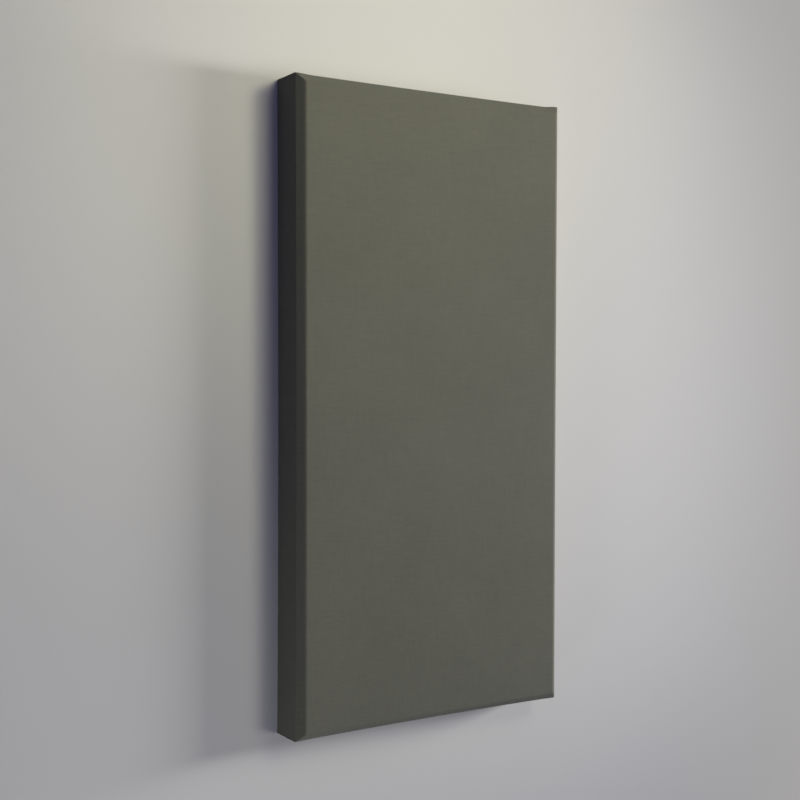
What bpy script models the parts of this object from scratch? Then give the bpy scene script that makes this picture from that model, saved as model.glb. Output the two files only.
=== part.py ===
"""A fabric acoustic wall panel: a bevelled fibre board wrapped in one cut of cloth.

The panel lies on its back with its face up. X runs across its width, Y along its
length and Z up through its thickness. The origin is under the middle of the back.
Sizes are in metres.
"""

import math

import bmesh
import bpy
from mathutils import Vector

# Overall size of the wrapped panel
PANEL_WIDTH = 0.600
PANEL_LENGTH = 1.200
PANEL_THICKNESS = 0.082

# The bevel round the face takes this much off the face and off each side wall
FACE_BEVEL = 0.013

# The rounding of a crease in the cloth starts this far from the sharp corner
CREASE_SETBACK = 0.002
CREASE_SEGMENTS = 3

# The cloth, and the width of it that is turned over the back and glued
CLOTH_THICKNESS = 0.001
BACK_RETURN = 0.040

# Clearance between the cloth and the board that it is drawn over
BOARD_CLEARANCE = 0.0003

# Turns between two neighbouring faces
QUARTER_TURN = math.radians(90)
BEVEL_TURN = QUARTER_TURN / 2
LEAST_CREASE = math.radians(30)

# Finishes: colour, roughness
CLOTH_FINISH = ((0.130, 0.130, 0.102, 1.0), 0.95)
BOARD_FINISH = ((0.56, 0.47, 0.25, 1.0), 0.9)


def clear_scene():
    """Removes every object that the file opens with."""
    for old in list(bpy.data.objects):
        bpy.data.objects.remove(old, do_unlink=True)


def finish(name, colour, roughness):
    """A matt, non-metallic material."""
    material = bpy.data.materials.new(name)
    material.use_nodes = True
    shader = material.node_tree.nodes["Principled BSDF"]
    shader.inputs["Base Color"].default_value = colour
    shader.inputs["Roughness"].default_value = roughness
    shader.inputs["Metallic"].default_value = 0.0
    return material


def bevelled_block(size, bevel):
    """A box standing on Z = 0, its four upper edges cut back at 45 degrees by bevel."""
    block = bmesh.new()
    bmesh.ops.create_cube(block, size=1.0)
    bmesh.ops.scale(block, vec=size, verts=block.verts)
    bmesh.ops.translate(block, vec=(0, 0, size.z / 2), verts=block.verts)
    upper_edges = [
        edge for edge in block.edges
        if all(corner.co.z > size.z / 2 for corner in edge.verts)
    ]
    bmesh.ops.bevel(
        block,
        geom=upper_edges,
        offset=bevel,
        offset_type="OFFSET",
        segments=1,
        affect="EDGES",
    )
    return block


def open_back(block, rim):
    """Cuts the underside away, except for a flat rim of the given width all round."""
    underside = min(block.faces, key=lambda face: face.calc_center_median().z)
    bmesh.ops.inset_region(block, faces=[underside], thickness=rim, use_even_offset=True)
    bmesh.ops.delete(block, geom=[underside], context="FACES")


def add_piece(name, shape, material, collection, parent):
    """Makes an object of a finished bmesh and frees the bmesh."""
    mesh = bpy.data.meshes.new(name)
    shape.to_mesh(mesh)
    shape.free()
    mesh.materials.append(material)
    piece = bpy.data.objects.new(name, mesh)
    piece.parent = parent
    collection.objects.link(piece)
    return piece


def soften_creases(piece, setback):
    """Rounds every edge between two faces that turn by more than the least crease."""
    soft = piece.modifiers.new("soft creases", "BEVEL")
    soft.limit_method = "ANGLE"
    soft.angle_limit = LEAST_CREASE
    soft.offset_type = "OFFSET"
    soft.width = setback
    soft.segments = CREASE_SEGMENTS


def make_fabric_cover(collection, parent):
    """One cloth drawn over the face, the bevel and the sides, and returned on the back."""
    size = Vector((PANEL_WIDTH, PANEL_LENGTH, PANEL_THICKNESS))
    skin = bevelled_block(size, FACE_BEVEL)
    open_back(skin, BACK_RETURN)
    cover = add_piece(
        "fabric_cover", skin, finish("woven cloth", *CLOTH_FINISH), collection, parent
    )
    soften_creases(cover, CREASE_SETBACK)
    cloth = cover.modifiers.new("cloth", "SOLIDIFY")
    cloth.thickness = CLOTH_THICKNESS
    cloth.offset = -1.0
    cloth.use_even_offset = True
    return cover


def make_core_board(collection, parent):
    """The fibre board, which fills the cover up to the board's clearance."""
    inset = CLOTH_THICKNESS + BOARD_CLEARANCE
    panel = Vector((PANEL_WIDTH, PANEL_LENGTH, PANEL_THICKNESS))
    size = panel - 2 * Vector((inset, inset, inset))
    # The board's bevel lies parallel to the cloth's, at the same inset as its face
    bevel = FACE_BEVEL - inset * (2 - 1 / math.cos(BEVEL_TURN))
    board = add_piece(
        "core_board",
        bevelled_block(size, bevel),
        finish("fibre board", *BOARD_FINISH),
        collection,
        parent,
    )
    board.location.z = inset
    # The rounding shares its centre with the cloth's at the two creases of the bevel
    soften_creases(board, CREASE_SETBACK - inset * math.tan(BEVEL_TURN / 2))
    return board


def main():
    clear_scene()
    panel_parts = bpy.data.collections.new("fabric_acoustic_wall_panel")
    bpy.context.scene.collection.children.link(panel_parts)
    panel_base = bpy.data.objects.new("panel_base", None)
    panel_parts.objects.link(panel_base)
    make_core_board(panel_parts, panel_base)
    make_fabric_cover(panel_parts, panel_base)


main()
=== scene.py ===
# %% [markdown]
# A fabric acoustic wall panel
#
# The real object is a stiff board of bonded mineral fibre, wrapped in one cut of plain woven
# cloth. The cloth runs over the face, down a 45 degree bevel and the side walls, and is glued
# down on the back. This lesson dresses the packed CAD model of it: first the camera, the floor
# and the light, then the cloth, then the board, and last what each of them is made of.
#
# The packed model comes in first, because every size below is read from it.

# %% Load the packed model
import math

import bpy
import numpy as np
from mathutils import Matrix, Vector


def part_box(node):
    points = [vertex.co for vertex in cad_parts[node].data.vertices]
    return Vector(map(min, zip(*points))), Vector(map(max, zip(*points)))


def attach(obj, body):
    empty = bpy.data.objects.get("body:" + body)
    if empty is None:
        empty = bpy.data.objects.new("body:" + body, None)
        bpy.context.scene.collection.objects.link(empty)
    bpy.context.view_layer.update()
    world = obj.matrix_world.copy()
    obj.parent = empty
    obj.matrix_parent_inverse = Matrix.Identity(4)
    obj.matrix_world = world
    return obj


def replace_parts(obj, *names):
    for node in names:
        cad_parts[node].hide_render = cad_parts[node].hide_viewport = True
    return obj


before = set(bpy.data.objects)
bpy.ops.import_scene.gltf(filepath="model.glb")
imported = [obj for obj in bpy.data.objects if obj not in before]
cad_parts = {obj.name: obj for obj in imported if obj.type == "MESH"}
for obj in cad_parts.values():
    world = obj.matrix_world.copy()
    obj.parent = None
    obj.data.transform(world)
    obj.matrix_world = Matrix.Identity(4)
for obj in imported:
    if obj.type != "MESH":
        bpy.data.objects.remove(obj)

MM = 0.001
scene = bpy.context.scene
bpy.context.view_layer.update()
cover_low, cover_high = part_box("fabric_cover")
board_low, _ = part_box("core_board")

HALF_WIDTH = (cover_high.x - cover_low.x) / 2
HALF_LENGTH = (cover_high.y - cover_low.y) / 2
THICKNESS = cover_high.z - cover_low.z
print("panel:", round(2 * HALF_WIDTH, 4), round(2 * HALF_LENGTH, 4), round(THICKNESS, 4), "m")

# %% [markdown]
# The camera
#
# A photograph of a box tells where its camera stood: the long edges run together towards the
# far end by an amount that only one place and one lens give. The panel lies on its back here,
# so the camera that looked at a standing panel now looks down on it, from over its left side.
# Its place and turns are numbers, found once by matching the panel's eight corners. A camera
# that tracks an empty would be quicker to set up, but it can't hold the small roll and tilt.

# %% Put the camera where the photograph was taken from
FRAME_SIDE = 800
FOCAL_PIXELS = 1320.9
SENSOR_WIDTH = 36.0
CAMERA_PLACE = Vector((-1.4279, 0.0886, 2.1566))
SIDE_SWING = 0.574
NOD = 0.0295
ROLL = -0.0023


def make_camera():
    """A camera turned by the side swing about Y, then the nod about X, then the roll about Z."""
    lens = bpy.data.cameras.new("photo_camera")
    lens.sensor_width = SENSOR_WIDTH
    lens.lens = FOCAL_PIXELS * SENSOR_WIDTH / FRAME_SIDE
    camera = bpy.data.objects.new("photo_camera", lens)
    swing = Matrix.Rotation(-SIDE_SWING, 4, "Y")
    nod = Matrix.Rotation(-NOD, 4, "X")
    roll = Matrix.Rotation(-ROLL, 4, "Z")
    camera.matrix_world = Matrix.Translation(CAMERA_PLACE) @ swing @ nod @ roll
    scene.collection.objects.link(camera)
    scene.camera = camera
    return camera


camera = make_camera()
print("lens:", round(camera.data.lens, 2), "mm")

# %% Find where one corner falls in the frame
def pixel_of(camera, point):
    """Where a point falls in the square frame, in pixels from its upper left corner."""
    seen = camera.matrix_world.inverted() @ Vector(point)
    middle = (FRAME_SIDE - 1) / 2
    across = middle + FOCAL_PIXELS * seen.x / -seen.z
    down = middle - FOCAL_PIXELS * seen.y / -seen.z
    return round(across, 1), round(down, 1)


print("upper left back corner at pixel", pixel_of(camera, (-HALF_WIDTH, HALF_LENGTH, 0)))

# %% [markdown]
# Short calls for materials
#
# A material is a tree of nodes that are joined by links. Each node could be added and joined
# by hand, three or four lines at a time, and the pattern would drown in them. So a few short
# calls do that work: what is handed to them as another node's output becomes a link, and any
# other value is set on the socket.

# %% Gather the short calls
def matt_material(name, colour, roughness, specular):
    """A Principled material of one colour, and its shader node."""
    material = bpy.data.materials.new(name)
    material.use_nodes = True
    shader = material.node_tree.nodes["Principled BSDF"]
    shader.inputs["Base Color"].default_value = colour
    shader.inputs["Roughness"].default_value = roughness
    shader.inputs["Specular IOR Level"].default_value = specular
    return material, shader


class Nodes:
    """Short calls that add a node, set its values and join what is given as a link."""

    def __init__(self, tree):
        self.tree = tree

    def put(self, socket, value):
        """Joins the socket to another node's output, or sets it to a plain value."""
        if isinstance(value, bpy.types.NodeSocket):
            self.tree.links.new(value, socket)
        else:
            socket.default_value = value

    def add(self, kind, values=None, **settings):
        """A new node of a kind, with its settings, and its sockets filled by name or number."""
        node = self.tree.nodes.new(kind)
        for key, value in settings.items():
            setattr(node, key, value)
        for key, value in (values or {}).items():
            self.put(node.inputs[key], value)
        return node

    def math(self, operation, first, second=0.0):
        """One sum, product or other operation on two numbers."""
        return self.add("ShaderNodeMath", {0: first, 1: second}, operation=operation).outputs[0]

    def vector(self, operation, first, second=(0.0, 0.0, 0.0)):
        """The same on two vectors."""
        values = {0: first, 1: second}
        return self.add("ShaderNodeVectorMath", values, operation=operation).outputs[0]

    def ramp(self, value, low, high, kind="SMOOTHSTEP"):
        """0 below low, 1 above high, and a smooth or straight climb between."""
        values = {"Value": value, "From Min": low, "From Max": high}
        return self.add("ShaderNodeMapRange", values, interpolation_type=kind).outputs[0]

    def combine(self, x, y):
        """The vector (x, y, 0)."""
        return self.add("ShaderNodeCombineXYZ", {0: x, 1: y}).outputs[0]

    def noise(self, vector, scale=1.0, detail=2.0):
        """Smooth noise from 0 to 1, with about scale blots in each unit of the vector."""
        values = {"Vector": vector, "Scale": scale, "Detail": detail}
        return self.add("ShaderNodeTexNoise", values).outputs["Fac"]

    def mix(self, share, first, second):
        """The colour that lies share of the way from the first to the second. The node keeps
        its two colours on sockets 6 and 7."""
        values = {"Factor": share, 6: first, 7: second}
        return self.add("ShaderNodeMix", values, data_type="RGBA").outputs[2]

    def blend(self, share, first, second):
        """The same for two numbers, which are on sockets 2 and 3."""
        return self.add("ShaderNodeMix", {"Factor": share, 2: first, 3: second}).outputs[0]

    def bump(self, height, strength, distance):
        """The normal of a surface that rises by height times distance."""
        values = {"Strength": strength, "Distance": distance, "Height": height}
        return self.add("ShaderNodeBump", values).outputs["Normal"]

    def seen(self):
        """1 for the rays that show a backdrop: from the camera, a mirror or through glass."""
        path = self.add("ShaderNodeLightPath").outputs
        mirrored = self.math("MAXIMUM", path["Is Glossy Ray"], path["Is Transmission Ray"])
        return self.math("MAXIMUM", path["Is Camera Ray"], mirrored)

    def lay_over(self, share, first, second, output):
        """Shows the second shader over the first by its share."""
        mixed = self.add("ShaderNodeMixShader", {"Fac": share, 1: first, 2: second})
        self.put(output.inputs["Surface"], mixed.outputs[0])


print("short calls:", [name for name in vars(Nodes) if not name.startswith("_")])

# %% [markdown]
# The floor
#
# A studio floor is one large matt sheet. A single flat face is enough, because nothing of it
# shows but its colour and the shadow on it. It lies a hair below the cloth so that the two
# don't fight for the same height.
#
# Two things depend on what kind of ray meets the floor. For the camera it is pale, and away
# from the panel it fades into the colour of the backdrop, so that no horizon shows. For the
# light that bounces on to the panel it is darker, because a pale floor this large would fill
# the left wall with light, and that wall is almost dark. A small floor would keep it dark
# too, but its edge would show from other sides.

# %% Lay the floor
FLOOR_REACH = 14.0
FLOOR_DROP = 0.2 * MM
FLOOR_COLOUR = (0.70, 0.69, 0.655, 1.0)
FLOOR_BOUNCE = (0.300, 0.297, 0.292, 1.0)
FLOOR_ROUGHNESS = 0.85
FLOOR_SPECULAR = 0.2
BACKDROP_COLOUR = (0.39, 0.382, 0.376, 1.0)
FADE_START, FADE_END = 0.25, 1.1


def paint_floor():
    """The floor's paint. The share of backdrop goes from 0 to 1 with the distance from the
    panel's outline, which is the length of the part of (|x|, |y|) beyond the half sizes."""
    material, shader = matt_material(
        "floor paint", FLOOR_COLOUR, FLOOR_ROUGHNESS, FLOOR_SPECULAR
    )
    nodes = Nodes(material.node_tree)
    place = nodes.add("ShaderNodeTexCoord").outputs["Object"]
    half_size = (HALF_WIDTH, HALF_LENGTH, 0.0)
    beyond = nodes.vector("SUBTRACT", nodes.vector("ABSOLUTE", place), half_size)
    outside = nodes.vector("MAXIMUM", beyond)
    away = nodes.add("ShaderNodeVectorMath", {0: outside}, operation="LENGTH").outputs["Value"]
    seen = nodes.seen()
    nodes.put(shader.inputs["Base Color"], nodes.mix(seen, FLOOR_BOUNCE, FLOOR_COLOUR))
    share = nodes.math("MULTIPLY", nodes.ramp(away, FADE_START, FADE_END), seen)
    backdrop = nodes.add("ShaderNodeEmission", {"Color": BACKDROP_COLOUR})
    output = material.node_tree.nodes["Material Output"]
    nodes.lay_over(share, shader.outputs[0], backdrop.outputs[0], output)
    return material


def make_floor():
    """One square face, twice FLOOR_REACH wide."""
    mesh = bpy.data.meshes.new("studio_floor")
    corners = np.array([(-1, -1, 0), (1, -1, 0), (1, 1, 0), (-1, 1, 0)]) * FLOOR_REACH
    corners[:, 2] = -FLOOR_DROP
    mesh.from_pydata(corners.tolist(), [], [(0, 1, 2, 3)])
    mesh.materials.append(paint_floor())
    floor = bpy.data.objects.new("studio_floor", mesh)
    scene.collection.objects.link(floor)
    return floor


floor = make_floor()
print("floor:", floor.name, 2 * FLOOR_REACH, "m square")

# %% [markdown]
# The light
#
# In the photograph the face is evenly lit, a little brighter towards the top and the right,
# the left wall is almost dark, and a long soft shadow falls to the left. So the main light is
# a broad lamp far out on the right, only 18 degrees above the face. Two weaker lamps lift the
# upper end, one of them with a narrow beam for its left corner, and a third the lower end. A
# small one by the near corner lights the foot of the left wall.
#
# Area lamps do this: their size sets how soft a shadow is, and the spread of the beam how
# soon the light fades. A sun lamp would light both ends alike, and its shadow would have a
# hard edge.

# %% Hang the lamps
# For each lamp: its place, the point it faces, its two sides in metres, the spread of its
# beam in degrees, its power in watts, and its colour
LAMPS = {
    "side_key": ((4.5, 0.3, 1.5), (-0.1, 0.0, 0.0), 0.7, 2.0, 60, 29.0, (1.0, 0.995, 0.99)),
    "upper_key": ((0.6, 1.8, 2.6), (0.1, 0.9, 0.0), 1.2, 1.2, 70, 4.7, (1.0, 0.96, 0.76)),
    "corner_key": ((1.5, 1.7, 2.5), (-0.3, 0.7, 0.0), 1.0, 1.0, 32, 1.65, (1.0, 1.0, 0.70)),
    "lower_key": ((1.3, -1.0, 2.6), (0.0, -0.55, 0.0), 1.0, 1.2, 50, 1.35, (1.0, 1.0, 0.92)),
    "low_fill": ((-1.2, -1.6, 0.6), (-0.3, -0.5, 0.03), 0.4, 0.2, 60, 0.55, (1.0, 1.0, 0.90)),
}


def hang_lamp(name, place, aim, across, along, spread, watts, colour):
    """A rectangular area lamp at a place, facing a point, its second side along the panel.
    The spread narrows its beam, so that the light fades away from the point it faces."""
    lamp = bpy.data.lights.new(name, "AREA")
    lamp.shape = "RECTANGLE"
    lamp.size = across
    lamp.size_y = along
    lamp.spread = math.radians(spread)
    lamp.energy = watts
    lamp.color = colour
    holder = bpy.data.objects.new(name, lamp)
    facing = (Vector(aim) - Vector(place)).to_track_quat("-Z", "Y").to_matrix().to_4x4()
    holder.matrix_world = Matrix.Translation(place) @ facing
    holder.visible_camera = False
    scene.collection.objects.link(holder)
    return holder


lamps = {name: hang_lamp(name, *setting) for name, setting in LAMPS.items()}
print("watts:", {name: round(holder.data.energy, 2) for name, holder in lamps.items()})

# %% [markdown]
# The room
#
# A real room sends a little light back from all sides. The world does that here, and it is
# weak and blue, because in the photograph the dark left wall is bluer than the face. A lamp on
# the left could do it too, but it would throw a second shadow. The camera sees the backdrop's
# plain grey in place of the world's own colour, which lights the panel but never shows.

# %% Fill the room
FILL_COLOUR = (0.37, 0.40, 1.0, 1.0)
FILL_STRENGTH = 0.135


def fill_room():
    """The world gives a weak fill, and shows the camera a grey backdrop beyond the floor."""
    world = bpy.data.worlds.new("studio")
    scene.world = world
    world.use_nodes = True
    world.node_tree.nodes.clear()
    nodes = Nodes(world.node_tree)
    fill = nodes.add("ShaderNodeBackground", {"Color": FILL_COLOUR, "Strength": FILL_STRENGTH})
    backdrop = nodes.add("ShaderNodeBackground", {"Color": BACKDROP_COLOUR})
    output = nodes.add("ShaderNodeOutputWorld")
    nodes.lay_over(nodes.seen(), fill.outputs[0], backdrop.outputs[0], output)


fill_room()
scene.view_settings.view_transform = "Standard"
print("view transform:", scene.view_settings.view_transform)

# %% [markdown]
# The line that the cloth follows
#
# Cut the panel across an edge, and the cloth is one bent line: flat on the face, down the
# bevel, down the wall, and in under the back. Each bend is rounded, because cloth can't turn
# a sharp corner. The line is kept as rows of three numbers: how far inwards from the wall,
# how high, and the tilt of the cloth's outer side, from 90 degrees on the face to 0 on the
# wall and -90 on the back. The tilt is kept because the cloth gets its thickness from it: the
# inner side lies one thickness behind the outer one. A bevel modifier could round a plain box
# too, but it wouldn't know where the folds go.

# %% Draw the edge line
BEVEL = 13 * MM
FACE_MARGIN = 20 * MM
FACE_ROUNDING = 8.0 * MM
WALL_ROUNDING = 3.0 * MM
BACK_ROUNDING = 1.2 * MM
BACK_RETURN = 40 * MM
CLOTH_THICKNESS = 1 * MM
FACE_TILT, BEVEL_TILT, WALL_TILT, BACK_TILT = 90, 45, 0, -90
BEND_STEPS = 6
BEVEL_SHARES = [0.33, 0.67]
WALL_STEPS = 16
WALL_CROWDING = 1.4
RETURN_SHARES = [0.06, 0.25, 0.5, 0.75, 1.0]


def rounded_bend(corner, radius, tilt_in, tilt_out):
    """A rounded crease: centre + radius * (-cos tilt, sin tilt) while the tilt turns evenly.
    The centre lies radius / cos(half the turn) inwards of the sharp corner."""
    tilt = np.radians(np.linspace(tilt_in, tilt_out, BEND_STEPS + 1))
    middle = (tilt[0] + tilt[-1]) / 2
    reach = radius / np.cos((tilt[0] - tilt[-1]) / 2)
    centre_in = corner[0] + reach * np.cos(middle)
    centre_up = corner[1] - reach * np.sin(middle)
    inward = centre_in - radius * np.cos(tilt)
    height = centre_up + radius * np.sin(tilt)
    return np.column_stack([inward, height, tilt])


def straight_run(start, end, shares):
    """Rows between two rows of the edge line, at the given shares of the way."""
    shares = np.asarray(shares)[:, None]
    return start + (end - start) * shares


face_bend = rounded_bend((BEVEL, THICKNESS), FACE_ROUNDING, FACE_TILT, BEVEL_TILT)
wall_bend = rounded_bend((0.0, THICKNESS - BEVEL), WALL_ROUNDING, BEVEL_TILT, WALL_TILT)
back_bend = rounded_bend((0.0, 0.0), BACK_ROUNDING, WALL_TILT, BACK_TILT)
margin_row = np.array([[FACE_MARGIN, THICKNESS, math.radians(FACE_TILT)]])
return_end = np.array([BACK_RETURN, 0.0, math.radians(BACK_TILT)])
wall_shares = np.linspace(0, 1, WALL_STEPS + 1)[1:] ** WALL_CROWDING

edge_line = np.vstack([
    margin_row,
    face_bend,
    straight_run(face_bend[-1], wall_bend[0], BEVEL_SHARES),
    wall_bend,
    straight_run(wall_bend[-1], back_bend[0], wall_shares),
])
return_line = np.vstack([back_bend, straight_run(back_bend[-1], return_end, RETURN_SHARES)])
print("rows of the edge line:", len(edge_line), "and round the back:", len(return_line))

# %% Measure along the edge line
def length_along(line):
    """How far along the line each row is: the running sum of the steps between rows."""
    steps = np.hypot(*np.diff(line[:, :2], axis=0).T)
    return np.concatenate([[0.0], np.cumsum(steps)])


edge_run = length_along(edge_line)
return_run = edge_run[-1] + length_along(return_line)
crease_row = len(margin_row) + len(face_bend) + len(BEVEL_SHARES) + len(wall_bend) - 1
CREASE_RUN = edge_run[crease_row]
print("cloth from face to cut edge:", round(return_run[-1] / MM, 1), "mm")

# %% [markdown]
# One quarter of the cloth, with its corner fold
#
# A flat sheet that goes down two walls has too much cloth at their corner. An upholsterer
# lays the spare cloth flat on the end wall in one fold: the cloth of the long wall turns the
# corner and runs in under the end cloth, turns back on itself along a slanting line, returns
# to the corner, and turns once more to become the outer layer. So a ring round the panel at
# any height is an S at each corner, and the S is wider the lower the ring is, because a
# square cut has twice as much spare cloth as the ring is deep.
#
# The fold could be sewn flat as one more triangle of cloth. Carrying the S down the edge line
# keeps it one sheet, so that the weave can later run through it as it does in the real cloth.
# A ring is measured from the corner: p inwards from the end wall, q inwards from the long one.

# %% Choose the marks of a ring
# Marks along the long wall, in mm from its end: close together at the corner, then even
CORNER_MARKS = [0, 1.5, 4, 8, 14, 22, 32]
EVEN_MARKS = np.linspace(44, 600, 46)
CORNER_STEPS = 7
LAYER_STEPS = 8
TURN_STEPS = 8
STACK_STEPS = 9
FALL_STEPS = 8
FAR_STEPS = 21

long_marks = np.concatenate([CORNER_MARKS, EVEN_MARKS]) * MM
long_shares = (1 - long_marks / long_marks[-1])[::-1]
corner_angles = np.linspace(0, np.pi / 2, CORNER_STEPS + 1)
layer_shares = np.linspace(0, 1, LAYER_STEPS + 1)[1:-1]
half_turn = np.linspace(0, np.pi, TURN_STEPS + 1)
stack_shares = np.linspace(0, 1, STACK_STEPS + 1)[1:]
fall_shares = np.linspace(0, 1, FALL_STEPS + 1)[1:]
far_shares = np.linspace(0, 1, FAR_STEPS + 1)[1:]

# The S at the corner is walked through in this order: the long wall, the corner, the layer
# that runs in, its turn, the layer that comes back, its turn, and the outer layer
LONG_COUNT = len(long_shares)
FOLD_MARK = LONG_COUNT + len(corner_angles) + len(layer_shares) + len(half_turn) // 2
END_FIRST = LONG_COUNT + len(corner_angles) + 2 * len(layer_shares) + 2 * len(half_turn) - 1
print("marks before the slanting fold:", FOLD_MARK, "and before the outer layer:", END_FIRST)

# %% Work out how far the fold has opened
FOLD_ONSET = 8 * MM


def smooth(value):
    """0 below 0, 1 above 1, and 3 v^2 - 2 v^3 between."""
    value = np.clip(value, 0, 1)
    return value * value * (3 - 2 * value)


def blend(start, end, share):
    """The value that lies share of the way from start to end."""
    return start + (end - start) * share


def fold_size(line, run, folded):
    """For each row: how far the fold has opened, 0 to 1, and how wide it is, which is the
    length of cloth run down to the row, plus inward, minus the margin."""
    opened = smooth((run - CREASE_RUN) / FOLD_ONSET) * folded
    spare = run + line[:, 0] - FACE_MARGIN
    return opened[:, None], spare[:, None]


fold_opened, fold_spare = fold_size(edge_line, edge_run, 1.0)
print("rows with an open fold:", int((fold_opened > 0).sum()))
print("widest fold:", round(float(fold_spare[-1, 0]) / MM, 1), "mm")

# %% Work out a quarter of each ring
# How round the corner and the fold are, the air between two layers, the least width of the
# folded layers that the outer one lies over, and how far its marks stay close beside them
CORNER_ROUNDING = 1.5 * MM
FOLD_ROUNDING = 1.2 * MM
LAYER_GAP = 0.1 * MM
LEAST_SPAN = 9 * MM
FALL_SPAN = 24 * MM


def quarter_rings(line, run, folded):
    """p, q and the outward direction (p part, q part) at every row and every mark of a
    quarter ring, from the middle of the long wall to the middle of the end wall. Straight
    stretches are shares of a way, and each turn is centre + radius * (cos, sin) of its angle.
    Where the fold is shut, all of it shrinks into the plain rounded corner."""
    inward, tilt = line[:, 0:1], line[:, 2:3]
    opened, spare = fold_size(line, run, folded)
    plain = CORNER_ROUNDING * smooth(run[:, None] / CREASE_RUN) * np.sqrt(np.abs(np.cos(tilt)))
    radius = blend(plain, FOLD_ROUNDING, opened)
    depth = opened * (2 * CLOTH_THICKNESS + 2 * LAYER_GAP)
    gap = opened * LAYER_GAP / 2
    loop = (depth - 2 * gap) / 2
    back = blend(plain, loop, opened)
    width = np.maximum(blend(plain, spare, opened), radius)
    span = np.maximum(width, LEAST_SPAN) + CLOTH_THICKNESS
    long_end = depth + radius
    to_long_middle = HALF_LENGTH - inward
    to_end_middle = HALF_WIDTH - inward
    flat = np.zeros_like(inward)

    def part(p, q, face_p, face_q, blended):
        """One stretch of the ring. Where blended, it faces the end wall's way until the
        fold has opened."""
        size = np.broadcast_shapes(p.shape, q.shape)
        face_p = np.broadcast_to(face_p, size)
        face_q = np.broadcast_to(face_q, size)
        if blended:
            face_p, face_q = blend(-1.0, face_p, opened), face_q * opened
        return np.stack([np.broadcast_to(p, size), np.broadcast_to(q, size), face_p, face_q])

    over_stack = blend(back, span, stack_shares)
    over_fall = span + FALL_SPAN * fall_shares
    over_rest = blend(span + FALL_SPAN, to_end_middle, far_shares)
    rest = np.hstack([over_stack, over_fall, over_rest])
    parts = [
        part(blend(to_long_middle, long_end, long_shares), flat, 0.0, -1.0, False),
        part(long_end - radius * np.sin(corner_angles), radius - radius * np.cos(corner_angles),
             -np.sin(corner_angles), -np.cos(corner_angles), False),
        part(depth, blend(radius, width, layer_shares), -1.0, 0.0, True),
        part(depth - gap + gap * np.cos(half_turn), width + gap * np.sin(half_turn),
             -np.cos(half_turn), -np.sin(half_turn), True),
        part(depth - 2 * gap, blend(width, back, layer_shares), 1.0, 0.0, True),
        part(loop + loop * np.cos(half_turn), back - loop * np.sin(half_turn),
             np.cos(half_turn), -np.sin(half_turn), True),
        part(flat, rest, -1.0, 0.0, False),
    ]
    return np.concatenate(parts, axis=2)


rings = quarter_rings(edge_line, edge_run, 1.0)
print("rings:", rings.shape[1], "with", rings.shape[2], "marks in each quarter")

# %% [markdown]
# From rings to a sheet
#
# The same four arrays give three things: where each mark is, which way the cloth faces there,
# and where the mark was on the flat cloth before it was folded. The last one becomes the UV
# map, in metres, so the weave keeps its size and bends with the cloth. Unwrapping the
# finished mesh would give a map too, but one that stretches at the folds.

# %% Turn rings into points
def ring_points(line, quarter):
    """x = half width - inward - q, y = half length - inward - p, z = height. The outward
    direction is (-face q cos tilt, -face p cos tilt, sin tilt)."""
    p, q, face_p, face_q = quarter
    inward, height, tilt = (line[:, i:i + 1] for i in range(3))
    across = HALF_WIDTH - inward - q
    along = HALF_LENGTH - inward - p
    points = np.stack([across, along, np.broadcast_to(height, p.shape)], axis=2)
    outward = np.stack(
        [-face_q * np.cos(tilt), -face_p * np.cos(tilt), np.broadcast_to(np.sin(tilt), p.shape)],
        axis=2,
    )
    return points, outward


ring_xyz, ring_out = ring_points(edge_line, rings)
print("lowest ring:", (2 * ring_xyz[-1, :, :2].max(axis=0) / MM).round(1), "mm")

# %% Find each mark's place on the flat cloth
EASE_SPAN = 60 * MM


def flat_places(points, run):
    """Where each mark lies on the flat cloth. Up to the slanting fold the distance from the
    edge is fixed by the row and the other one is the length walked along the ring. After the
    fold the two change places. What the rounded corner saves is eased in near the fold."""
    steps = np.hypot(*np.moveaxis(np.diff(points[:, :, :2], axis=1), 2, 0))
    walked = np.concatenate([np.zeros((len(run), 1)), np.cumsum(steps, axis=1)], axis=1)
    left = walked[:, -1:] - walked
    edge_u = (HALF_WIDTH - FACE_MARGIN + run)[:, None]
    edge_v = (HALF_LENGTH - FACE_MARGIN + run)[:, None]
    at_fold, left_fold = walked[:, FOLD_MARK:FOLD_MARK + 1], left[:, FOLD_MARK:FOLD_MARK + 1]
    eased_v = walked + (edge_v - at_fold) * smooth((walked - at_fold) / EASE_SPAN + 1)
    eased_u = left + (edge_u - left_fold) * smooth((left - left_fold) / EASE_SPAN + 1)
    before = np.arange(points.shape[1])[None, :] <= FOLD_MARK
    return np.stack(
        [np.where(before, edge_u, eased_u), np.where(before, eased_v, edge_v)], axis=2
    )


ring_uv = flat_places(ring_xyz, edge_run)
print("spare cloth in a fold at the back:", round(2 * (edge_run[-1] - FACE_MARGIN) / MM), "mm")

# %% [markdown]
# The flat face
#
# Inside the first ring the cloth lies flat. One large face would do for the shape, but then
# the soft hollows at the ends couldn't reach into it, and a face with hundreds of corners
# shades badly. So the ring's own marks are carried across it as the lines of a grid.

# %% Fill in the face
def face_patch(first_points):
    """The flat face of a quarter. Its lines start at the marks of the first ring, so that the
    two fit: every y of the long wall's marks with every x of the end wall's."""
    y_marks = first_points[:LONG_COUNT, 1]
    x_marks = first_points[END_FIRST:, 0][::-1]
    x, y = np.meshgrid(x_marks, y_marks)
    points = np.stack([x, y, np.full_like(x, first_points[0, 2])], axis=2)
    outward = np.zeros_like(points)
    outward[:, :, 2] = 1.0
    return points[::-1], outward, points[::-1, :, :2]


face_xyz, face_out, face_uv = face_patch(ring_xyz[0])
print("face lines in a quarter:", face_xyz.shape[:2])

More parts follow.
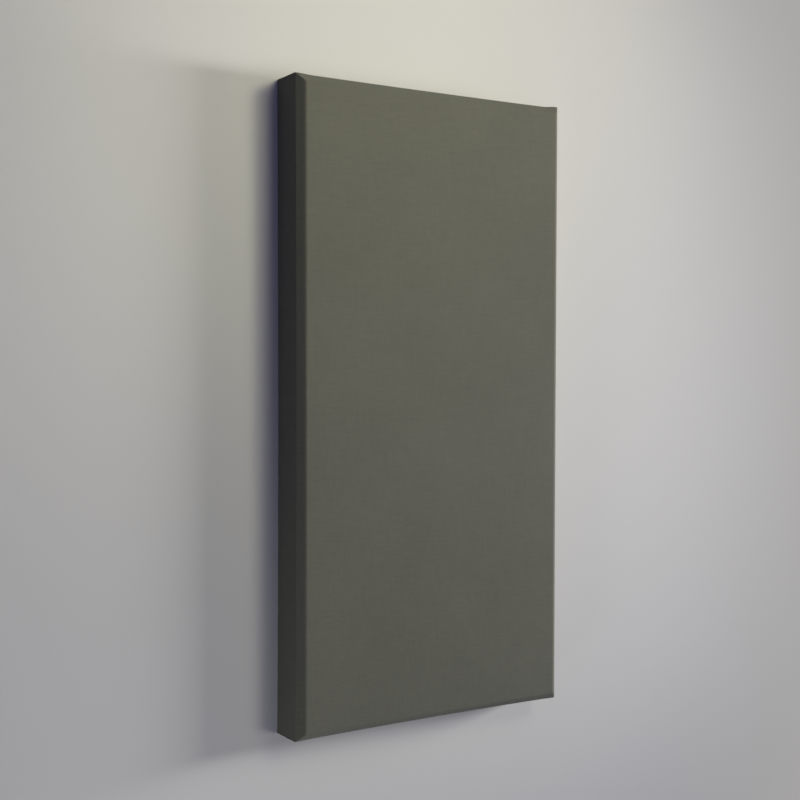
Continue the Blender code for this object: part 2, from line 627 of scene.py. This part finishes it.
# %% [markdown]
# The cloth on the back
#
# The last 40 mm of cloth go round the back edge and are glued down. The corners are cut away
# on the slant before that, as in any neat wrapping, so that the strips meet in a mitre and
# the spare layers of the fold stop at the back edge. Each strip is a grid of its own that
# starts from the marks of the lowest ring and gets shorter towards its cut edge. A boolean
# could cut the slant from a plain rim, but it would leave ragged faces along it.

# %% Turn the strips over the back
MITRE_GAP = 0.6 * MM


def long_strip():
    """x = half width - inward, y = share of the half length that the slanted end leaves. The
    slanted end is as far from the end wall as inward, but for half the gap of the mitre."""
    inward, height, tilt = (return_line[:, i:i + 1] for i in range(3))
    start = HALF_LENGTH - ring_xyz[-1, LONG_COUNT - 1, 1]
    end = np.maximum(start, inward + MITRE_GAP / 2)
    y = (HALF_LENGTH - end) * long_shares
    x = np.broadcast_to(HALF_WIDTH - inward, y.shape)
    points = np.stack([x, y, np.broadcast_to(height, y.shape)], axis=2)
    outward = np.stack([np.cos(tilt) + 0 * y, 0 * y, np.sin(tilt) + 0 * y], axis=2)
    u = (HALF_WIDTH - FACE_MARGIN + return_run)[:, None] + 0 * y
    return points, outward, np.stack([u, y], axis=2)


def end_strip():
    """y = half length - inward, x = what the slanted end leaves of the lowest ring's marks."""
    inward, height, tilt = (return_line[:, i:i + 1] for i in range(3))
    x_marks = ring_xyz[-1, END_FIRST:, 0]
    start = HALF_WIDTH - x_marks[0]
    end = np.maximum(start, inward + MITRE_GAP / 2)
    x = (HALF_WIDTH - end) * (x_marks / x_marks[0])
    y = np.broadcast_to(HALF_LENGTH - inward, x.shape)
    points = np.stack([x, y, np.broadcast_to(height, x.shape)], axis=2)
    outward = np.stack([0 * x, np.cos(tilt) + 0 * x, np.sin(tilt) + 0 * x], axis=2)
    v = (HALF_LENGTH - FACE_MARGIN + return_run)[:, None] + 0 * x
    return points, outward, np.stack([x, v], axis=2)


cloth_patches = [
    (ring_xyz, ring_out, ring_uv),
    (face_xyz, face_out, face_uv),
    long_strip(),
    end_strip(),
]
print("patches in a quarter:", [patch[0].shape[:2] for patch in cloth_patches])

# %% [markdown]
# The whole sheet
#
# The quarter is mirrored into four, and marks on the same spot are welded. A Mirror modifier
# would do it too, but both sides would then get the same yarns. Mirroring turns faces inside
# out, so those of a mirrored patch are listed the other way round. Where the fold hasn't
# opened yet, many marks share one spot, and welding them leaves some faces with three corners
# and some with fewer, which are sorted out after it.

# %% Mirror a patch into four quarters
def grid_faces(rows, columns):
    """Four-cornered faces between neighbouring rows and columns of a grid."""
    index = np.arange(rows * columns).reshape(rows, columns)
    return np.stack(
        [index[:-1, :-1], index[1:, :-1], index[1:, 1:], index[:-1, 1:]], axis=2
    ).reshape(-1, 4)


def mirrored(patch):
    """The patch in all four quarters, with its faces turned to look outwards."""
    points, outward, flat = patch
    faces = grid_faces(*points.shape[:2])
    pieces = []
    for side in (1, -1):
        for end in (1, -1):
            order = faces if side * end > 0 else faces[:, ::-1]
            signs = np.array([side, end, 1])
            pieces.append((
                points.reshape(-1, 3) * signs,
                outward.reshape(-1, 3) * signs,
                flat.reshape(-1, 2) * signs[:2],
                order,
            ))
    return pieces


cloth_quarters = [piece for patch in cloth_patches for piece in mirrored(patch)]
print("patches in the whole sheet:", len(cloth_quarters))

# %% Weld the patches into one sheet
WELD_STEP = 1e-4 * MM


def weld(pieces):
    """One set of points for all pieces, with marks on the same spot made one. A face that
    names a point twice is a triangle, and one that does so more often is left out."""
    counts = np.cumsum([0] + [len(piece[0]) for piece in pieces])
    points, outward, flat = (np.vstack([piece[i] for piece in pieces]) for i in range(3))
    faces = np.vstack([piece[3] + start for piece, start in zip(pieces, counts)])
    spots = np.round(points / WELD_STEP).astype(np.int64)
    _, first, index = np.unique(spots, axis=0, return_index=True, return_inverse=True)
    faces = index.reshape(-1)[faces]
    repeat = faces == np.roll(faces, 1, axis=1)
    squares = faces[repeat.sum(axis=1) == 0]
    once = repeat.sum(axis=1) == 1
    triangles = faces[once][~repeat[once]].reshape(-1, 3)
    return points[first], outward[first], flat[first], squares, triangles


cloth_points, cloth_out, cloth_flat, cloth_squares, cloth_triangles = weld(cloth_quarters)
print("cloth marks:", len(cloth_points), "squares:", len(cloth_squares))
print("triangles:", len(cloth_triangles))

# %% [markdown]
# How the cloth pulls the panel
#
# A stretched cloth presses the soft board in. In the photograph the left wall stands out 1.5 mm
# at its upper end and 2.4 mm at its lower one, the end walls are 1 to 2 mm hollow halfway
# along, and the corners stand out where the folds lie, most of all the upper right one. A
# cloth simulation could find such shapes, but not these very ones. As smooth shifts of the
# finished marks they follow the photograph, and because they depend on place alone, cloth and
# board move alike and nothing comes apart.

# %% Find the folded layers from a place
FOLD_FALL = (27 * MM, 6 * MM)
FOLD_FALL_DEPTH = 20 * MM
SPARE_AT_CREASE = edge_run[-1] - FACE_MARGIN - (THICKNESS - BEVEL - BACK_ROUNDING)


def stack_shape(x, z):
    """1 over the folded layers of an end wall, falling to 0 beside their slanting edge: in a
    long slope by the bevel and a short one lower down. Also the depth below the bevel."""
    below = np.clip(THICKNESS - BEVEL - z, 0, None)
    fold_edge = SPARE_AT_CREASE + below + 2 * CLOTH_THICKNESS
    fall = blend(FOLD_FALL[0], FOLD_FALL[1], smooth(below / FOLD_FALL_DEPTH))
    return 1 - smooth((HALF_WIDTH - np.abs(x) - fold_edge) / fall), below


def by_corner(values, x, y):
    """The value of the corner that each point is nearest to."""
    return sum(value * ((np.sign(x) == side) & (np.sign(y) == end))
               for (side, end), value in values.items())


print("fold at the bevel:", round(SPARE_AT_CREASE / MM, 1), "mm wide")

# %% Shift the marks as the tight cloth does
# By corner, as (side, end): 1 is right or upper, -1 is left or lower. FACE_SHARE is how much
# of a shift shows on the face, and FADE_SPAN is how far in from the edge it dies out
SIDE_STAND = {(-1, 1): 1.5 * MM, (-1, -1): 2.4 * MM, (1, 1): 0.0, (1, -1): 0.6 * MM}
UPPER_HOLLOW = 1.1 * MM
UPPER_STAND = 0.6 * MM
LOWER_HOLLOW = 2.2 * MM
LOWER_SKEW = (0.3 * MM, 0.7 * MM)
FACE_SHARE = 0.36
FADE_SPAN = 80 * MM
EARS = {(1, 1): 2.4 * MM, (-1, 1): 1.4 * MM, (1, -1): 0.4 * MM, (-1, -1): 0.6 * MM}
STACK_RISE = {(1, 1): 1.8 * MM, (-1, 1): 0.2 * MM, (1, -1): 1.0 * MM, (-1, -1): 0.5 * MM}
RISE_DEPTH = 60 * MM


def pulled(points):
    """The points, shifted. A side stands out with the square of the place along it, a hollow
    goes with 1 - the square of the place across, and a corner's rise goes from its ear by the
    bevel to its stack lower down. All of them fade out over the face."""
    x, y, z = points.T
    on_edge = np.clip((THICKNESS - z) / BEVEL, 0, 1)
    level = blend(FACE_SHARE, 1.0, on_edge)
    near_side = smooth(1 - (HALF_WIDTH - np.abs(x)) / FADE_SPAN)
    near_end = smooth(1 - (HALF_LENGTH - np.abs(y)) / FADE_SPAN)
    halfway_x = 1 - (x / HALF_WIDTH) ** 2
    stand = by_corner(SIDE_STAND, x, y) * (y / HALF_LENGTH) ** 2
    shape, below = stack_shape(x, z)
    ear, stack = by_corner(EARS, x, y), by_corner(STACK_RISE, x, y)
    rise = blend(ear, stack, smooth(below / RISE_DEPTH)) * shape * on_edge
    lower = LOWER_HOLLOW * halfway_x + LOWER_SKEW[0] - LOWER_SKEW[1] * x / HALF_WIDTH
    upper = UPPER_HOLLOW * halfway_x - UPPER_STAND
    hollow = np.where(y > 0, upper, lower) * level
    moved = points.copy()
    moved[:, 0] += np.sign(x) * stand * level * near_side
    moved[:, 1] += np.sign(y) * (rise - hollow) * near_end
    return moved


shift = pulled(cloth_points) - cloth_points
print("largest shifts:", (np.abs(shift).max(axis=0) / MM).round(2), "mm")

# %% [markdown]
# From a sheet to a mesh
#
# The sheet so far is one side without a thickness. Blender's Solidify could add the other
# side, but where the fold turns tightly it would push the layers into each other. Here every
# mark knows its own outward direction, so the inner side is the same marks one thickness back
# along it. The shifts come after that, so both sides take them.

# %% Give the cloth its thickness
def boundary(squares, triangles):
    """The directed edges that only one face has."""
    edges = np.vstack(
        [faces[:, [i, (i + 1) % faces.shape[1]]]
         for faces in (squares, triangles) for i in range(faces.shape[1])]
    )
    _, index, count = np.unique(
        np.sort(edges, axis=1), axis=0, return_inverse=True, return_counts=True
    )
    return edges[count[index.reshape(-1)] == 1]


def thickened(points, outward, squares, triangles, thickness):
    """The outer side, the same side moved inwards by thickness along its outward direction
    and turned over, and a narrow rim between their edges."""
    count = len(points)
    rim = boundary(squares, triangles)
    rim_faces = np.column_stack([rim[:, 1], rim[:, 0], rim[:, 0] + count, rim[:, 1] + count])
    both = np.vstack([points, points - thickness * outward])
    squares = np.vstack([squares, squares[:, ::-1] + count, rim_faces])
    triangles = np.vstack([triangles, triangles[:, ::-1] + count])
    return both, squares, triangles


both_sides, all_squares, all_triangles = thickened(
    cloth_points, cloth_out, cloth_squares, cloth_triangles, CLOTH_THICKNESS
)
print("faces of both sides and the rim:", len(all_squares) + len(all_triangles))

# %% Make the cloth's mesh and its flat map
CLOTH_SHARP = math.radians(50)


def make_piece(name, points, squares, triangles, sharp_angle):
    """A mesh object at the origin, smooth but for edges sharper than the angle."""
    mesh = bpy.data.meshes.new(name)
    mesh.from_pydata(points.tolist(), [], triangles.tolist() + squares.tolist())
    mesh.shade_smooth()
    mesh.set_sharp_from_angle(angle=sharp_angle)
    piece = bpy.data.objects.new(name, mesh)
    scene.collection.objects.link(piece)
    return piece


def add_flat_map(piece, flat):
    """Stores each vertex's place on the flat cloth as the UV map flat_cut, in metres."""
    mesh = piece.data
    corners = np.empty(len(mesh.loops), dtype=np.int32)
    mesh.loops.foreach_get("vertex_index", corners)
    layer = mesh.uv_layers.new(name="flat_cut")
    layer.uv.foreach_set("vector", flat[corners].astype(np.float32).ravel())


panel_cloth = make_piece(
    "panel_cloth", pulled(both_sides), all_squares, all_triangles, CLOTH_SHARP
)
add_flat_map(panel_cloth, np.vstack([cloth_flat, cloth_flat]))
print("panel_cloth:", len(panel_cloth.data.vertices), "vertices")

# %% [markdown]
# The board
#
# The board has the cloth's own shape without the folds, a layer of cloth and a hair of
# clearance further in. So it is the same rings with the fold kept shut, moved inwards along
# the same outward directions, and carried on round the back edge to a flat back. A bevelled
# box would be simpler, but it wouldn't follow the cloth's hollows. Under the folded layers
# the cloth takes more room, and there the board is pressed in a little.

# %% Lay the board's patches from the same rings
BOARD_CLEARANCE = board_low.z - cover_low.z - CLOTH_THICKNESS
back_rim = np.array([[FACE_MARGIN, 0.0, math.radians(BACK_TILT)]])
board_line = np.vstack([edge_line, back_bend[1:], back_rim])
board_run = length_along(board_line)


def board_patches():
    """Walls, face and back of a quarter of the board. The back is the face patch of the last
    ring, with its rows in the other order so that it looks down."""
    board_rings = quarter_rings(board_line, board_run, 0.0)
    points, outward = ring_points(board_line, board_rings)
    wall = (points, outward, flat_places(points, board_run))
    back_points, back_out, back_flat = (part[::-1] for part in face_patch(points[-1]))
    return [wall, face_patch(points[0]), (back_points, -back_out, back_flat)]


board_quarters = [piece for patch in board_patches() for piece in mirrored(patch)]
print("board clearance:", round(BOARD_CLEARANCE / MM, 2), "mm")

# %% Press the board in and make its mesh
BOARD_PRESS = 2.2 * MM
BOARD_SHARP = math.radians(60)


def pressed(points):
    """The board's shift: as the cloth's, and pressed in under the folded layers."""
    moved = pulled(points)
    x, y, z = points.T
    shape, below = stack_shape(x, z)
    near_end = smooth(1 - (HALF_LENGTH - np.abs(y)) / FADE_SPAN)
    press = BOARD_PRESS * shape * smooth(below / FOLD_ONSET) * near_end
    moved[:, 1] -= np.sign(y) * press
    return moved


board_outer, board_out, _, board_squares, board_triangles = weld(board_quarters)
board_points = pressed(board_outer - (CLOTH_THICKNESS + BOARD_CLEARANCE) * board_out)
panel_board = make_piece(
    "panel_board", board_points, board_squares, board_triangles, BOARD_SHARP
)
print("panel_board:", len(panel_board.data.vertices), "vertices")

# %% [markdown]
# What the cloth is made of
#
# Acoustic cloth is a plain weave of thick, hairy yarns, a warp yarn and a weft yarn every 1.3
# mm or so, spun thick and thin and dyed a little unevenly. At arm's length it reads as one
# matt grey-olive with a faint grain. A photograph of cloth would tile and bring its own
# light with it, so the yarns are counted instead: the whole part of the place divided by the
# yarn spacing is the yarn's number, and what is left over is the place across that yarn.

# %% Lay one set of yarns
WARP_PITCH = 1.25 * MM
WEFT_PITCH = 1.35 * MM
# Noise spots per metre: drift across and along a yarn, slubs along it, and fibres along it.
# The slub spacing sets neighbouring yarns apart in the noise, so that no two look alike
DRIFT_PER_METRE = (230.0, 9.0)
SLUB_SPACING = 7.3
SLUB_PER_METRE = 28.0
FIBRES_PER_YARN = 7.0
FIBRE_PER_METRE = 500.0
PLAIN_DETAIL = 1.0
SLUB_SHARE = 0.9
FIBRE_SHARE = 0.6


def lay_yarns(nodes, across, along, pitch):
    """One set of parallel yarns: number = floor of across / pitch + drift. Drift bends the
    yarns a little, so that no two gaps are alike. Gives each yarn's number, the square of the
    place across it from -1 to 1, and its tone, which is made of slubs and fibres."""
    drift_place = nodes.combine(
        nodes.math("MULTIPLY", across, DRIFT_PER_METRE[0]),
        nodes.math("MULTIPLY", along, DRIFT_PER_METRE[1]),
    )
    drift = nodes.noise(drift_place, detail=PLAIN_DETAIL)
    count = nodes.math("ADD", nodes.math("DIVIDE", across, pitch), drift)
    number = nodes.math("FLOOR", count)
    side = nodes.math("SUBTRACT", nodes.math("MULTIPLY", nodes.math("FRACT", count), 2.0), 1.0)
    slub_place = nodes.combine(
        nodes.math("MULTIPLY", number, SLUB_SPACING),
        nodes.math("MULTIPLY", along, SLUB_PER_METRE),
    )
    fibre_place = nodes.combine(
        nodes.math("MULTIPLY", count, FIBRES_PER_YARN),
        nodes.math("MULTIPLY", along, FIBRE_PER_METRE),
    )
    fibre = nodes.math("MULTIPLY", nodes.noise(fibre_place, detail=PLAIN_DETAIL), FIBRE_SHARE)
    slub = nodes.math("MULTIPLY", nodes.noise(slub_place), SLUB_SHARE)
    return number, nodes.math("MULTIPLY", side, side), nodes.math("ADD", slub, fibre)


print("yarns across the face:", round(2 * HALF_WIDTH / WARP_PITCH))

# %% Weave the cloth material
YARN_DARK = (0.096, 0.096, 0.074, 1.0)
YARN_LIGHT = (0.181, 0.181, 0.140, 1.0)
# Painted shade: a dark colour painted into the low gaps between the yarns, where they shade each
# other
GAP_SHADE_COLOUR = (0.032, 0.032, 0.026, 1.0)
YARN_ARCH = 0.5
DYE_PER_METRE = 5.0
DYE_SHARE = 0.3
TONE_OFFSET = 0.4
# Painted shade: the share of a yarn's height below which the gaps' painted shade shows
GAP_SHADE_HEIGHT = 0.55
WEAVE_BUMP = (0.5, 0.2 * MM)
CLOTH_ROUGHNESS = 0.92
CLOTH_SPECULAR = 0.25
SHEEN_WEIGHT = 0.12
SHEEN_ROUGHNESS = 0.5


def crown(nodes, across_squared, along_squared):
    """The height of a yarn that is on top: round across it, sqrt(1 - a^2), and arched along
    it, 1 - YARN_ARCH * b^2, where it dives under the next crossing yarn."""
    round_part = nodes.math("SQRT", nodes.math("SUBTRACT", 1.0, across_squared))
    arch = nodes.math("SUBTRACT", 1.0, nodes.math("MULTIPLY", along_squared, YARN_ARCH))
    return nodes.math("MULTIPLY", round_part, arch)


def weave_cloth():
    """Plain weave on the flat_cut map: warp on top where the two yarn numbers add up to an odd
    one, weft where they add up to an even one."""
    material, shader = matt_material(
        "woven cloth", YARN_DARK, CLOTH_ROUGHNESS, CLOTH_SPECULAR
    )
    nodes = Nodes(material.node_tree)
    place = nodes.add("ShaderNodeUVMap", uv_map="flat_cut").outputs["UV"]
    split = nodes.add("ShaderNodeSeparateXYZ", {0: place}).outputs
    warp, warp_side, warp_tone = lay_yarns(nodes, split["X"], split["Y"], WARP_PITCH)
    weft, weft_side, weft_tone = lay_yarns(nodes, split["Y"], split["X"], WEFT_PITCH)
    warp_on_top = nodes.math("PINGPONG", nodes.math("ADD", warp, weft), 1.0)
    height = nodes.blend(
        warp_on_top, crown(nodes, weft_side, warp_side), crown(nodes, warp_side, weft_side)
    )
    dye = nodes.math("MULTIPLY", nodes.noise(place, DYE_PER_METRE), DYE_SHARE)
    tone = nodes.math("SUBTRACT", nodes.blend(warp_on_top, weft_tone, warp_tone), TONE_OFFSET)
    yarn = nodes.mix(nodes.math("ADD", tone, dye), YARN_DARK, YARN_LIGHT)
    # Painted shade: where the yarn height is low, between the yarns, the colour goes dark
    colour = nodes.mix(nodes.ramp(height, 0.0, GAP_SHADE_HEIGHT, "LINEAR"), GAP_SHADE_COLOUR, yarn)
    nodes.put(shader.inputs["Base Color"], colour)
    nodes.put(shader.inputs["Normal"], nodes.bump(height, *WEAVE_BUMP))
    shader.inputs["Sheen Weight"].default_value = SHEEN_WEIGHT
    shader.inputs["Sheen Roughness"].default_value = SHEEN_ROUGHNESS
    return material


panel_cloth.data.materials.append(weave_cloth())
print("cloth material:", len(panel_cloth.data.materials[0].node_tree.nodes), "nodes")

# %% [markdown]
# What the board is made of
#
# Glass or rock fibre comes off the line in a mat and is pressed with resin, so the bare back
# shows fine fibres that lie every way in the plane, buff with brown resin flecks. They could
# be scattered as real strands, but it would take millions. Three stretched noises, each
# turned by a third of a half circle, give the crossing fibres.

# %% Press the fibre material
BOARD_BUFF = (0.60, 0.51, 0.28, 1.0)
BOARD_RESIN = (0.42, 0.33, 0.15, 1.0)
BOARD_ROUGHNESS = 0.9
BOARD_SPECULAR = 0.3
FIBRE_TURNS = (10, 70, 130)
FIBRE_STRETCH = (1.0, 0.08, 1.0)
STREAKS_PER_METRE, STREAK_DETAIL = 700.0, 3.0
BLOTS_PER_METRE, BLOT_DETAIL = 14.0, 4.0
BLOT_LEVEL, BLOT_CONTRAST = 0.35, 1.2
STREAK_LEVEL, STREAK_CONTRAST = 1.25, 1.3
FIBRE_BUMP = (0.5, 0.4 * MM)


def press_fibres():
    """Crossing streaks of stretched noise for the fibres, and soft blots for the resin. Its
    share is (blots - level) * contrast * (streak level - fibres * streak contrast)."""
    material, shader = matt_material(
        "bonded fibre", BOARD_BUFF, BOARD_ROUGHNESS, BOARD_SPECULAR
    )
    nodes = Nodes(material.node_tree)
    place = nodes.add("ShaderNodeTexCoord").outputs["Object"]
    fibres = 0.0
    for turn in FIBRE_TURNS:
        rotation = (0, 0, math.radians(turn))
        values = {"Vector": place, "Rotation": rotation, "Scale": FIBRE_STRETCH}
        turned = nodes.add("ShaderNodeMapping", values).outputs[0]
        streak = nodes.noise(turned, STREAKS_PER_METRE, STREAK_DETAIL)
        fibres = nodes.math("MAXIMUM", streak, fibres)
    blots = nodes.math("SUBTRACT", nodes.noise(place, BLOTS_PER_METRE, BLOT_DETAIL), BLOT_LEVEL)
    resin = nodes.math("MULTIPLY", blots, BLOT_CONTRAST)
    darker = nodes.math("MULTIPLY", fibres, STREAK_CONTRAST)
    streaks = nodes.math("SUBTRACT", STREAK_LEVEL, darker)
    colour = nodes.mix(nodes.math("MULTIPLY", resin, streaks), BOARD_BUFF, BOARD_RESIN)
    nodes.put(shader.inputs["Base Color"], colour)
    nodes.put(shader.inputs["Normal"], nodes.bump(fibres, *FIBRE_BUMP))
    return material


panel_board.data.materials.append(press_fibres())
print("board material:", len(panel_board.data.materials[0].node_tree.nodes), "nodes")

# %% [markdown]
# Tying the pieces to the model
#
# Both pieces ride on the one body of the packed model and stand in for its plain solids. The
# size the cloth was cut to comes from the flat map: the area of its faces on that map is the
# area of the cut.

# %% Measure the cut of the cloth
def flat_area(flat, squares, triangles):
    """The area on the flat map: half the cross products of the faces' diagonals and sides."""
    a, b = flat[squares[:, 2]] - flat[squares[:, 0]], flat[squares[:, 3]] - flat[squares[:, 1]]
    c, d = (flat[triangles[:, i]] - flat[triangles[:, 0]] for i in (1, 2))
    cross = a[:, 0] * b[:, 1] - a[:, 1] * b[:, 0]
    corner = c[:, 0] * d[:, 1] - c[:, 1] * d[:, 0]
    return float(np.abs(cross).sum() + np.abs(corner).sum()) / 2


cut_size = np.ptp(cloth_flat, axis=0)
cut_area = flat_area(cloth_flat, cloth_squares, cloth_triangles)
print("cut:", cut_size.round(4), "m, area", round(cut_area, 4), "of", round(cut_size.prod(), 4))

# %% Tie the pieces to the model
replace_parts(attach(panel_board, "root"), "core_board")
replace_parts(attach(panel_cloth, "root"), "fabric_cover")
print("tied to root:", panel_board.name, panel_cloth.name)

# %% [markdown]
# The sizes
#
# The visual model stands a little proud of the CAD model, as cloth does.
